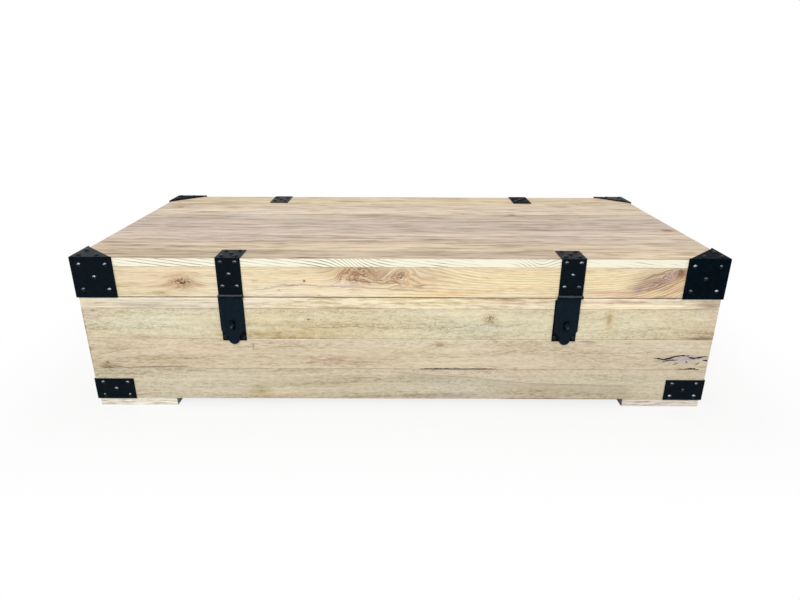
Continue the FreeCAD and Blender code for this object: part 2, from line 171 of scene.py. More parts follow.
STREAKS = ((0.0, (0.5, 0.43, 0.36, 1)), (0.25, (0.695, 0.655, 0.61, 1)), (0.5, (0.82, 0.82, 0.82, 1)),
           (1.0, (1.0, 1.0, 1.0, 1)))
STREAK_GAIN = (1.22, 1.22, 1.22)
LATE_WOOD = (0.8, 0.63, 0.43)
DEEP_LATE = (0.5, 0.38, 0.3)
KNOT_HALO = (0.84, 0.68, 0.52)
KNOT_HEART = (0.11, 0.068, 0.045, 1)
KNOT_WOOD = (0.42, 0.265, 0.165, 1)
VEIN_DARK = (0.24, 0.165, 0.12, 1)
# Near-black for drawn cracks and joints, for the cracks' floors as painted shade, and for painted shade
# lines.
CRACK_AND_SHADE_DARK = (0.03, 0.022, 0.02, 1)
END_WOOD = (0.78, 0.72, 0.64)
WAXED = 0.56
WAX_SHINE = 0.3
GRAIN_RELIEF = 0.0006
RIPPLE_SWAY = 0.005


def oval(run, rise, area):
    """Squared distance from the middle of a patch, 1 on its rim."""
    across, up = run - area["at"][0], rise - area["at"][1]
    long, short = area["size"]
    if area["turn"]:
        turn = math.radians(area["turn"])
        along = across * (math.cos(turn) / long) + up * (math.sin(turn) / long)
        over = up * (math.cos(turn) / short) - across * (math.sin(turn) / short)
    else:
        along, over = across / long, up / short
    return along * along + over * over


def drawn_line(run, points):
    """Height of a line drawn through points, read along the board."""
    start, end = points[0][0], points[-1][0]
    low = min(z for x, z in points)
    reach = max(max(z for x, z in points) - low, 0.001)
    stops = [((x - start) / (end - start), ((z - low) / reach,) * 3 + (1,)) for x, z in points]
    return ((run - start) / (end - start)).ramp(stops) * reach + low


def cast_over(colour, run, rise, casts, rim):
    """Stains soaked into the wood, and some painted highlights and shade, with a rim that follows the grain.
    """
    for each in casts:
        mask = (oval(run, rise, each) + rim).bell() * each["strength"]
        colour = mask.math("MINIMUM", 1.0).blend(colour, each["colour"] + (1,))
    return colour


def knotted(colour, height, run, rise, knots, rim, specks):
    """Knots: a burnt heart in rings, or a cluster of dark flecks."""
    for each in knots:
        reach = oval(run, rise, each) + rim
        colour = ((reach * 0.35).bell() * each["halo"]).blend(colour, colour.times(KNOT_HALO))
        if each["flecked"]:
            core = (reach * 0.7).bell() * specks
            colour = (core * each["dark"]).blend(colour, KNOT_HEART)
        else:
            rings = (abs(reach).math("SQRT") * 3.2).math("FRACT").rise(0.15, 0.95)
            core = 1.0 - reach.rise(0.5, 1.15)
            colour = (core * each["dark"]).blend(colour, (rings * 0.75 + 0.2).blend(KNOT_WOOD, KNOT_HEART))
        height = height - core * 0.5
    return colour, height


def drawn_dark_lines(colour, height, run, rise, dark_lines, jag):
    """Thin dark lines of resin, joints, cracks and some painted shade, and a change of tone below some of
    them.
    """
    for each in dark_lines:
        width, taper, line = each["width"], each["taper"], each["line"]
        start, end = line[0][0], line[-1][0]
        off = rise - drawn_line(run, line) + jag * each["jag"]
        inside = run.rise(start, start + taper) * run.rise(end, end - taper)
        if each["below"]:
            under = inside * off.rise(0.001, -0.002) * off.rise(-0.045, -0.004)
            colour = under.blend(colour, colour.times(each["below"]))
        gap = abs(off).rise(width, width * 0.25) * inside
        colour = (gap * each["dark"]).blend(colour, each["colour"])
        height = height - gap * 0.8
    return colour, height


def pine(name, side, tones, seed, streak=(4.0, 55.0, 1.6), dash=(30.0, 170.0, 1.2), sway=0.025,
         rings=0.009, lines=0.2, bends=(), curls=(), figured=(), knots=(), casts=(), dark_lines=(), splits=(),
         half=None, shift=None, edge=None):
    """Waxed pine. All its grain flows along the board and bends round its knots."""
    material, shader, place = new_material(name)
    run, rise, deep = (place.part(axis) for axis in RUNS[side])
    point = run.joined(rise, deep).plus((seed, seed * 0.7, seed * 0.3))
    if shift is not None:
        number = shift(place)
        point = point.plus(number.joined(number * 0.37, number * 0.11))

    bent = (point.times(WANDERING).noise() - 0.5) * sway + (point.times(RIPPLES).noise() - 0.5) * RIPPLE_SWAY
    for each in bends:
        bent = bent - oval(run, rise, each).bell() * each["lift"]
    for each in knots:
        bent = bent - (oval(run, rise, each) * 0.3).bell() * each["lift"]
    for each in curls:
        whirl = point.times(WHIRLS).noise() - 0.5
        bent = bent + oval(run, rise, each).bell() * whirl * each["strength"]
    grain = point.plus((0.0 * bent).joined(bent, 0.0))
    broad = grain.times((streak[0], streak[1], streak[1])).noise(4.0, 0.62) - 0.5
    fine = grain.times((dash[0], dash[1], dash[1])).noise(3.0, 0.6) - 0.5
    fleck = grain.times((dash[0] * 2.6, dash[1] * 1.9, dash[1] * 1.9)).noise() - 0.5
    fibre = grain.times(FIBRES).noise() - 0.5
    rough = point.times(SAW_MARKS).noise(3.0, 0.65) - 0.5

    late = ((rise + bent + broad * 0.006) / rings).math("FRACT")
    late = late.rise(0.25, 0.9) * late.rise(1.0, 0.93)
    weight = broad * 1.2 + lines
    for each in figured:
        weight = weight + oval(run, rise, each).bell() * each["strength"]
    late = late * weight.math("MAXIMUM", 0.0)

    colour = point.times(CLOUDS).noise().rise(0.4, 0.6).blend(tones[0] + (1,), tones[1] + (1,))
    colour = cast_over(colour, run, rise, casts, broad * 3.0 + fine * 1.5)
    value = broad * streak[2] + fine * dash[2] + fleck + fibre * 0.4 + 0.5
    colour = colour.times(value.ramp(STREAKS)).times(STREAK_GAIN)
    colour = late.math("MINIMUM", 1.0).blend(colour, colour.times(LATE_WOOD))
    if figured:
        colour = (late - 0.9).rise(0.0, 1.0).blend(colour, colour.times(DEEP_LATE))
    height = fibre * 0.6 - late * 0.5 + fine
    if knots:
        specks = point.times(SPECKS).noise(1.0).rise(0.46, 0.6)
        colour, height = knotted(colour, height, run, rise, knots, rough * 2.2, specks)
    if dark_lines:
        jag = rough + point.times(JAGS).noise(3.0, 0.6) - 0.5
        colour, height = drawn_dark_lines(colour, height, run, rise, dark_lines, jag)
    # The floors of the cracks cut into the face are coloured near-black: painted shade.
    if splits:
        low = min(x for width, *line in splits for x, z in line) - 0.004
        behind = deep - FRONT_FACE
        floor = behind.rise(0.0011, 0.0015) * behind.rise(0.0045, 0.0041)
        inside = run.rise(low, low + 0.001) * run.rise(half - 0.0003, half - 0.0007)
        colour = (floor * inside).blend(colour, CRACK_AND_SHADE_DARK)
    if half is not None:
        end = (abs(run) - half).rise(-0.0007, -0.0003)
        arcs = ((rise * rise + deep * deep * 3.0) * 130.0 + rough * 0.6).math("FRACT").rise(0.3, 0.95)
        colour = (end * (arcs * 0.35 + 0.6)).blend(colour, colour.times(END_WOOD))
    if edge is not None:
        colour = edge(place, colour, fibre, rough)
    fill_sockets(shader, {"Base Color": colour, "Roughness": WAXED + fine * 0.25,
                          "Normal": bumped(height, 0.4, GRAIN_RELIEF), "Specular IOR Level": WAX_SHINE})
    return material


def put_in_scene(name, data, place=Matrix()):
    """A mesh, lamp or camera as an object of its own."""
    made = bpy.data.objects.new(name, data)
    made.matrix_world = place
    bpy.context.scene.collection.objects.link(made)
    return made


def new_piece(name, shape):
    """A finished shape as a piece, with its place in its mesh."""
    mesh = bpy.data.meshes.new(name)
    shape.to_mesh(mesh)
    shape.free()
    return put_in_scene(name, mesh)


def stand_in(piece, node, body, slot, *materials):
    """Show a piece in place of a node."""
    for material in materials:
        piece.data.materials.append(material)
    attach(piece, body)
    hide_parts(node)


def planed_blocks(name, boxes, arris):
    """Blocks with their arrises just taken off, as one mesh."""
    shape = bmesh.new()
    for low, high in boxes:
        made = bmesh.ops.create_cube(shape, size=1.0)
        bmesh.ops.scale(shape, vec=high - low, verts=made["verts"])
        bmesh.ops.translate(shape, vec=(low + high) / 2, verts=made["verts"])
    bmesh.ops.bevel(shape, geom=shape.edges[:], offset=arris, offset_type="OFFSET", segments=2,
                    profile=0.5, affect="EDGES", material=-1)
    return new_piece(name, shape)


SPLIT_DEPTH = 0.003
SPLIT_STEP = 0.004
CUTTER_PROUD = 0.001


def split_open(piece, splits):
    """Cut ragged drying cracks into a front board's face, pointed at both ends."""
    shape = bmesh.new()
    for width, *line in splits:
        points = [Vector(point) for point in line]
        ragged = [points[0]]
        for start, end in zip(points, points[1:]):
            steps = max(2, round((end - start).length / SPLIT_STEP))
            ragged += [start.lerp(end, step / steps) for step in range(1, steps + 1)]
        last = len(ragged) - 1
        rows = []
        for index, (x, z) in enumerate(ragged):
            swell = math.sin(math.pi * (0.03 + 0.94 * index / last)) ** 0.6
            half_width = width * swell * draw.uniform(0.3, 0.62)
            middle = z + draw.uniform(-0.0005, 0.0005)
            rows.append([shape.verts.new((x, FRONT_FACE - CUTTER_PROUD, middle + half_width)),
                         shape.verts.new((x, FRONT_FACE - CUTTER_PROUD, middle - half_width))])
        faces = [shape.faces.new((a[0], a[1], b[1], b[0])) for a, b in zip(rows, rows[1:])]
        pulled = bmesh.ops.extrude_face_region(shape, geom=faces)["geom"]
        deep = [v for v in pulled if isinstance(v, bmesh.types.BMVert)]
        bmesh.ops.translate(shape, vec=(0, CUTTER_PROUD + SPLIT_DEPTH, 0), verts=deep)
    bmesh.ops.recalc_face_normals(shape, faces=shape.faces)
    cutter = new_piece("split_cutter", shape)
    cut = piece.modifiers.new("splits", "BOOLEAN")
    cut.operation, cut.solver, cut.use_self, cut.object = "DIFFERENCE", "EXACT", True, cutter
    seen = piece.evaluated_get(bpy.context.evaluated_depsgraph_get())
    mesh = bpy.data.meshes.new_from_object(seen)
    piece.modifiers.clear()
    piece.data = mesh
    piece.data.materials.clear()
    bpy.data.objects.remove(cutter)


ARRIS = 0.0006
SEAM_ARRIS = {"top_rail": 0.0011}


def planed_board(node, body, material, arris=ARRIS, splits=()):
    """The board that is seen in place of a node."""
    piece = planed_blocks(f"planed_{node}", [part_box(node)], arris)
    if splits:
        split_open(piece, splits)
    stand_in(piece, node, body, "pine", material)


def patch(x, z, long, short, turn=0.0, **looks):
    """An oval patch of a board: its middle, half lengths, slant in degrees and looks."""
    return {"at": (x, z), "size": (long, short), "turn": turn, **looks}


def stains_and_painted_light(*rows):
    """Stains, and some painted highlights and shade: each a patch, its strength, colour and perhaps slant."""
    return [patch(x, z, long, short, *turn, strength=strength, colour=colour)
            for x, z, long, short, strength, colour, *turn in rows]


def knot(x, z, long, short, dark, halo, turn=0.0, flecked=False, lift=None):
    """A knot, and how far it pushes the grain aside."""
    return patch(x, z, long, short, turn, dark=dark, halo=halo, flecked=flecked,
                 lift=short * 1.4 if lift is None else lift)


def dark_line(width, taper, dark, *line, jag=0.004, below=None, colour=VEIN_DARK):
    """A dark line through some points, tapered at both ends, used for resin, joints, cracks and painted
    shade.
    """
    return {"width": width, "taper": taper, "dark": dark, "line": line, "jag": jag, "below": below,
            "colour": colour}


# Looks of the front's boards. A split is its width, then the points that it runs through.
EDGE_GRIME = (0.34, 0.26, 0.19)
front_boards = {"top_rail": {
    "tones": ((0.815, 0.735, 0.565), (0.855, 0.757, 0.555)), "seed": 3.1, "streak": (3.0, 80.0, 2.7),
    "dash": (20.0, 220.0, 1.6), "rings": 0.006, "lines": 0.25,
    "casts": stains_and_painted_light(
        (-0.55, 0.261, 0.22, 0.022, 0.95, (0.535, 0.5, 0.43)),
        # A pale line along the rail, a little under the lid: a painted highlight of the lit arris at the
        # seam.
        (0.0, 0.2668, 2.0, 0.001, 0.8, (0.95, 0.88, 0.69)),
        (-0.6, 0.249, 0.09, 0.006, 0.6, (0.58, 0.47, 0.37)),
        (-0.23, 0.265, 0.1, 0.006, 0.5, (0.84, 0.75, 0.63)),
        (0.07, 0.259, 0.2, 0.013, 0.8, (0.93, 0.85, 0.58)),
        (0.2, 0.265, 0.06, 0.003, 0.8, (0.71, 0.51, 0.34)),
        (0.42, 0.259, 0.13, 0.005, 0.7, (0.76, 0.58, 0.44)),
        (0.57, 0.246, 0.12, 0.003, 0.8, (0.64, 0.46, 0.31)),
        (0.68, 0.252, 0.034, 0.007, 1.0, (0.3, 0.22, 0.17)),
    ),
    "dark_lines": [
        dark_line(0.0014, 0.01, 0.5, (-0.71, 0.2436), (0.0, 0.244), (0.71, 0.2436), jag=0.005),
    ],
}, "board_upper": {
    "tones": ((0.692, 0.632, 0.444), (0.654, 0.57, 0.376)), "seed": 7.7, "streak": (3.5, 42.0, 1.8),
    "dash": (70.0, 210.0, 1.3), "rings": 0.012, "lines": 0.1,
    "knots": [
        knot(-0.203, 0.2185, 0.0036, 0.0026, 0.9, 0.2),
        knot(0.198, 0.221, 0.01, 0.0075, 0.8, 0.5, flecked=True),
        knot(0.462, 0.22, 0.0055, 0.012, 0.35, 0.8),
    ],
    "casts": stains_and_painted_light(
        (-0.218, 0.2175, 0.0075, 0.0042, 1.0, (0.8, 0.76, 0.73)),
        (-0.53, 0.208, 0.15, 0.034, 0.6, (0.69, 0.67, 0.52)),
        (-0.68, 0.229, 0.03, 0.014, 0.6, (0.62, 0.5, 0.41)),
        (-0.56, 0.176, 0.12, 0.006, 0.7, (0.62, 0.47, 0.32)),
        (-0.18, 0.205, 0.17, 0.03, 0.5, (0.62, 0.51, 0.3)),
        (-0.24, 0.181, 0.15, 0.012, 0.8, (0.54, 0.43, 0.23)),
        (0.18, 0.199, 0.11, 0.018, 0.6, (0.6, 0.58, 0.44)),
        (0.57, 0.224, 0.018, 0.008, 0.6, (0.79, 0.61, 0.42)),
        (0.69, 0.218, 0.02, 0.03, 0.7, (0.62, 0.47, 0.37)),
        (-0.6995, 0.215, 0.0016, 0.06, 0.8, EDGE_GRIME),
        (0.68, 0.1745, 0.026, 0.006, 0.95, (0.37, 0.28, 0.19)),
    ),
    "dark_lines": [
        dark_line(0.0014, 0.01, 0.5, (-0.71, 0.1716), (0.0, 0.1719), (0.71, 0.1716)),
    ],
}, "board_middle": {
    "tones": ((0.664, 0.576, 0.426), (0.626, 0.533, 0.386)), "seed": 12.4, "streak": (3.5, 45.0, 1.4),
    "dash": (40.0, 210.0, 1.2), "rings": 0.012, "lines": 0.12, "sway": 0.04,
    "knots": [
        knot(-0.664, 0.1113, 0.0045, 0.0036, 0.85, 0.6),
        knot(-0.668, 0.1, 0.015, 0.006, 0.75, 0.5, flecked=True),
        knot(0.09, 0.157, 0.011, 0.004, 0.55, 0.6),
    ],
    "casts": stains_and_painted_light(
        (-0.5, 0.153, 0.11, 0.012, 0.6, (0.7, 0.56, 0.4)),
        # A pale line just under the board's top edge: a painted highlight of its lit arris.
        (0.0, 0.17, 2.0, 0.001, 0.8, (0.8, 0.73, 0.57)),
        (-0.16, 0.122, 0.034, 0.006, 0.8, (0.56, 0.41, 0.31)),
        (-0.175, 0.1235, 0.008, 0.0015, 0.9, (0.84, 0.75, 0.61)),
        (0.02, 0.16, 0.16, 0.008, 0.6, (0.77, 0.7, 0.54)),
        (0.62, 0.155, 0.08, 0.01, 0.5, (0.73, 0.68, 0.55)),
        (-0.66, 0.1, 0.022, 0.009, 0.9, (0.36, 0.28, 0.2)),
        (-0.56, 0.101, 0.08, 0.0035, 0.9, (0.48, 0.36, 0.26)),
        (-0.699, 0.135, 0.0016, 0.04, 0.8, EDGE_GRIME),
        (-0.33, 0.153, 0.0022, 0.01, 0.8, (0.43, 0.33, 0.2)),
        (0.421, 0.1675, 0.012, 0.0026, 0.8, (0.43, 0.32, 0.24)),
        (0.608, 0.124, 0.024, 0.0035, 0.8, (0.47, 0.38, 0.36)),
        (0.655, 0.1245, 0.044, 0.008, 1.0, (0.49, 0.44, 0.47)),
    ),
    "dark_lines": [
        dark_line(0.0014, 0.03, 0.5, (-0.48, 0.0978), (-0.22, 0.0975), (0.04, 0.0978), jag=0.005),
        dark_line(0.0014, 0.03, 0.4, (0.23, 0.0977), (0.43, 0.0975), (0.64, 0.0977), jag=0.005),
        dark_line(0.0016, 0.02, 0.55, (-0.697, 0.1265), (-0.653, 0.1369), (-0.6, 0.15)),
        dark_line(0.0024, 0.006, 0.9, (0.64, 0.096), (0.66, 0.0967), (0.684, 0.0978), jag=0.001,
             colour=CRACK_AND_SHADE_DARK),
        dark_line(0.0022, 0.03, 0.7, (-0.668, 0.104), (-0.62, 0.099), (-0.56, 0.1015), (-0.47, 0.102)),
    ],
    "splits": [
        (0.0045, (0.5743, 0.1268), (0.5882, 0.1251), (0.5931, 0.1232), (0.6006, 0.1235), (0.6104, 0.1258),
         (0.618, 0.1286), (0.6257, 0.1308), (0.6374, 0.1331), (0.648, 0.132), (0.6545, 0.1346)),
        (0.0042, (0.648, 0.1318), (0.6523, 0.1321), (0.655, 0.1279), (0.6629, 0.1263), (0.671, 0.1265),
         (0.6788, 0.128), (0.6905, 0.1305), (0.706, 0.1298)),
        (0.0032, (0.595, 0.1147), (0.5985, 0.1179), (0.6073, 0.1199), (0.6152, 0.1213), (0.6224, 0.1208),
         (0.6322, 0.1227)),
        (0.0034, (0.6269, 0.13), (0.633, 0.1236), (0.6386, 0.1178), (0.6376, 0.1135)),
        (0.003, (0.6195, 0.1103), (0.626, 0.1114), (0.6338, 0.1162)),
        (0.0028, (0.648, 0.1195), (0.6543, 0.1149)),
        (0.0032, (0.671, 0.1112), (0.6777, 0.1123), (0.681, 0.116)),
        (0.0042, (0.6856, 0.1218), (0.6932, 0.1214), (0.706, 0.1188)),
        (0.0037, (0.045, 0.0975), (0.09, 0.0982), (0.136, 0.0973), (0.173, 0.0979), (0.225, 0.0972)),
        (0.009, (0.63, 0.0962), (0.648, 0.096), (0.66, 0.0966), (0.672, 0.0976), (0.683, 0.0978)),
    ],
}, "board_lower": {
    "tones": ((0.611, 0.554, 0.414), (0.583, 0.501, 0.369)), "seed": 18.9, "streak": (3.5, 42.0, 1.8),
    "dash": (55.0, 200.0, 1.2), "rings": 0.012, "lines": 0.1,
    "casts": stains_and_painted_light(
        (-0.55, 0.058, 0.11, 0.03, 0.5, (0.65, 0.59, 0.44)),
        (-0.17, 0.06, 0.15, 0.04, 0.7, (0.5, 0.425, 0.295)),
        (0.16, 0.06, 0.13, 0.03, 0.75, (0.7, 0.65, 0.52)),
        (-0.32, 0.04, 0.024, 0.012, 0.95, (0.37, 0.3, 0.13)),
        (-0.27, 0.0255, 0.07, 0.005, 0.8, (0.48, 0.33, 0.22)),
        (0.145, 0.029, 0.06, 0.007, 0.7, (0.4, 0.36, 0.34)),
        (0.2, 0.089, 0.25, 0.008, 0.7, (0.69, 0.58, 0.45)),
        (0.62, 0.086, 0.06, 0.006, 0.6, (0.67, 0.54, 0.39)),
    ),
    "dark_lines": [
        dark_line(0.0016, 0.05, 0.45, (-0.035, 0.092), (0.079, 0.0809), (0.158, 0.0767), (0.238, 0.067),
             (0.318, 0.06), (0.414, 0.0584), (0.56, 0.0545), below=(0.83, 0.83, 0.81)),
        # A near-black line along the board's lower edge: a painted shadow under the chest.
        dark_line(0.0017, 0.03, 0.9, (0.225, 0.0208), (0.38, 0.0206), (0.54, 0.0208), jag=0.001,
             colour=CRACK_AND_SHADE_DARK),
        dark_line(0.0014, 0.05, 0.6, (0.02, 0.0966), (0.12, 0.0964), (0.24, 0.0966), jag=0.002, colour=CRACK_AND_SHADE_DARK),
    ],
}}

for level, looks in front_boards.items():
    node = f"front_{level}"
    planed_board(node, "chest", pine(f"{node}_pine", "front", half=BOARD_HALF, **looks),
                 SEAM_ARRIS.get(level, ARRIS), looks.get("splits", ()))


def scattered(low, high, along, count):
    """A few knots at random on a board's broad face."""
    reach = (high[along] - low[along]) * 0.42
    edge = 0.012
    knots = []
    for _ in range(count):
        size = draw.uniform(0.004, 0.01)
        knots.append(knot(draw.uniform(-reach, reach), draw.uniform(low[2] + edge, high[2] - edge),
                          size * draw.uniform(1.0, 1.7), size, draw.uniform(0.5, 0.95), 0.6,
                          flecked=draw.random() < 0.4))
    return knots


def chance_looks(node, side, tones, lines):
    """Looks of a board that has nothing special on it: its own seed, knots, stains and bends."""
    low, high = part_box(node)
    along = RUNS[side][0]
    reach = (high[along] - low[along]) * 0.45
    middle, tall = (low[2] + high[2]) / 2, (high[2] - low[2]) / 2
    knots = scattered(low, high, along, draw.randint(1, 3))
    browner = tuple(part * factor for part, factor in zip(tones[0], (0.82, 0.74, 0.66)))
    paler = tuple(min(0.93, part * 1.08) for part in tones[0])
    casts = stains_and_painted_light(*(
        (draw.uniform(-reach, reach), middle + draw.uniform(-tall, tall) * 0.8, draw.uniform(0.03, 0.14),
         draw.uniform(0.004, 0.016), draw.uniform(0.4, 0.8), colour)
        for colour in (browner, paler, browner, paler)))
    bend = patch(draw.uniform(-reach, reach), middle + draw.choice((-1, 1)) * tall * 0.7,
                 draw.uniform(0.05, 0.11), tall, lift=draw.uniform(-0.03, 0.03))
    figure = patch(*bend["at"], bend["size"][0] * 1.8, tall * 1.2, strength=draw.uniform(0.2, 0.6))
    return {"tones": tones, "seed": draw.uniform(20, 90), "rings": draw.uniform(0.006, 0.012), "lines": lines,
            "knots": knots, "casts": casts, "bends": [bend], "figured": [figure],
            "half": BOARD_HALF if side in ("front", "back") else None}


for side in ("back", "left", "right"):
    for level, front_looks in front_boards.items():
        node = f"{side}_{level}"
        looks = chance_looks(node, side, front_looks["tones"], draw.uniform(0.1, 0.3))
        planed_board(node, "chest", pine(f"{node}_pine", side, **looks), SEAM_ARRIS.get(level, ARRIS))


# ---- bottom and feet ----
# The bottom is a thin glued panel in grooves of the lower boards. The feet are
# flat blocks of the same pine, set just inside the edges and held from below by
# two countersunk screws each. Their inner ends are painted black as shade.
def dress(node, material):
    """Give a node that is shown as it is its finish."""
    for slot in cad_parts[node].material_slots:
        slot.material = material


dress("bottom_panel", pine("bottom_pine", "lid", front_boards["board_middle"]["tones"], 41.0))
FOOT_PAINTED_SHADE = (0.09, 0.08, 0.075)
FOOT_TONES = {"left": ((0.83, 0.81, 0.71), (0.79, 0.77, 0.67)),
              "right": ((0.8, 0.74, 0.67), (0.71, 0.65, 0.59))}
for side in ("front", "back"):
    for end, tones in FOOT_TONES.items():
        node = f"foot_{side}_{end}"
        low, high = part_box(node)
        inner, outer = sorted((low.x, high.x), key=abs)
        # Painted shade: the inner end of each foot is coloured near-black.
        inner_shade = stains_and_painted_light((inner, high.z / 2, 0.0012, 0.5, 1.0, FOOT_PAINTED_SHADE))
        dress(node, pine(f"{node}_pine", "front", tones, draw.uniform(90, 120), dash=(26.0, 330.0, 3.4),
                         half=abs(outer), casts=inner_shade))


# ---- dowels and screws ----
# Beech dowels pin the corners of the boards, and zinc plated screws hold the
# feet. Hardly anything of them shows once the chest is together.
# A light iron colour painted on knuckles and staples as a highlight.
HIGHLIGHT_IRON = (0.085, 0.095, 0.115, 1)
HAMMER_RELIEF = 0.0002


def metal(name, base, mottled, roughness, metallic=0.0, specular=0.5, grain=90.0, highlight=None):
    """Iron or steel with a mottled skin, a little hammer relief and perhaps a painted highlight."""
    material, shader, place = new_material(name)
    blotch = place.times((grain, grain, grain)).noise(3.0, 0.6)
    dent = place.times((grain * 2.3, grain * 2.3, grain * 2.3)).noise(2.0)
    colour = blotch.rise(0.35, 0.7).blend(base, mottled)
    # Painted highlight: lighter iron where the given mask says.
    if highlight is not None:
        colour = (highlight(place) * (dent * 1.4).math("MINIMUM", 1.0)).blend(colour, HIGHLIGHT_IRON)
    fill_sockets(shader, {"Base Color": colour, "Roughness": roughness + blotch * 0.2,
                          "Metallic": metallic, "Normal": bumped(dent + blotch, 0.3, HAMMER_RELIEF),
                          "Specular IOR Level": specular})
    return material


BEECH_PALE = (0.66, 0.48, 0.3, 1)
BEECH_FLECK = (0.5, 0.34, 0.2, 1)
zinc = metal("zinc_plate", (0.3, 0.3, 0.31, 1), (0.24, 0.24, 0.26, 1), 0.28, metallic=1.0)
beech, shader, place = new_material("dowel_wood")
fibre = place.times((300.0, 20.0, 300.0)).noise(3.0, 0.6)
fill_sockets(shader, {"Base Color": fibre.rise(0.35, 0.7).blend(BEECH_PALE, BEECH_FLECK),
                      "Roughness": 0.55 + fibre * 0.1})
dress("body_dowels", beech)
dress("lid_dowels", beech)
dress("foot_screws", zinc)


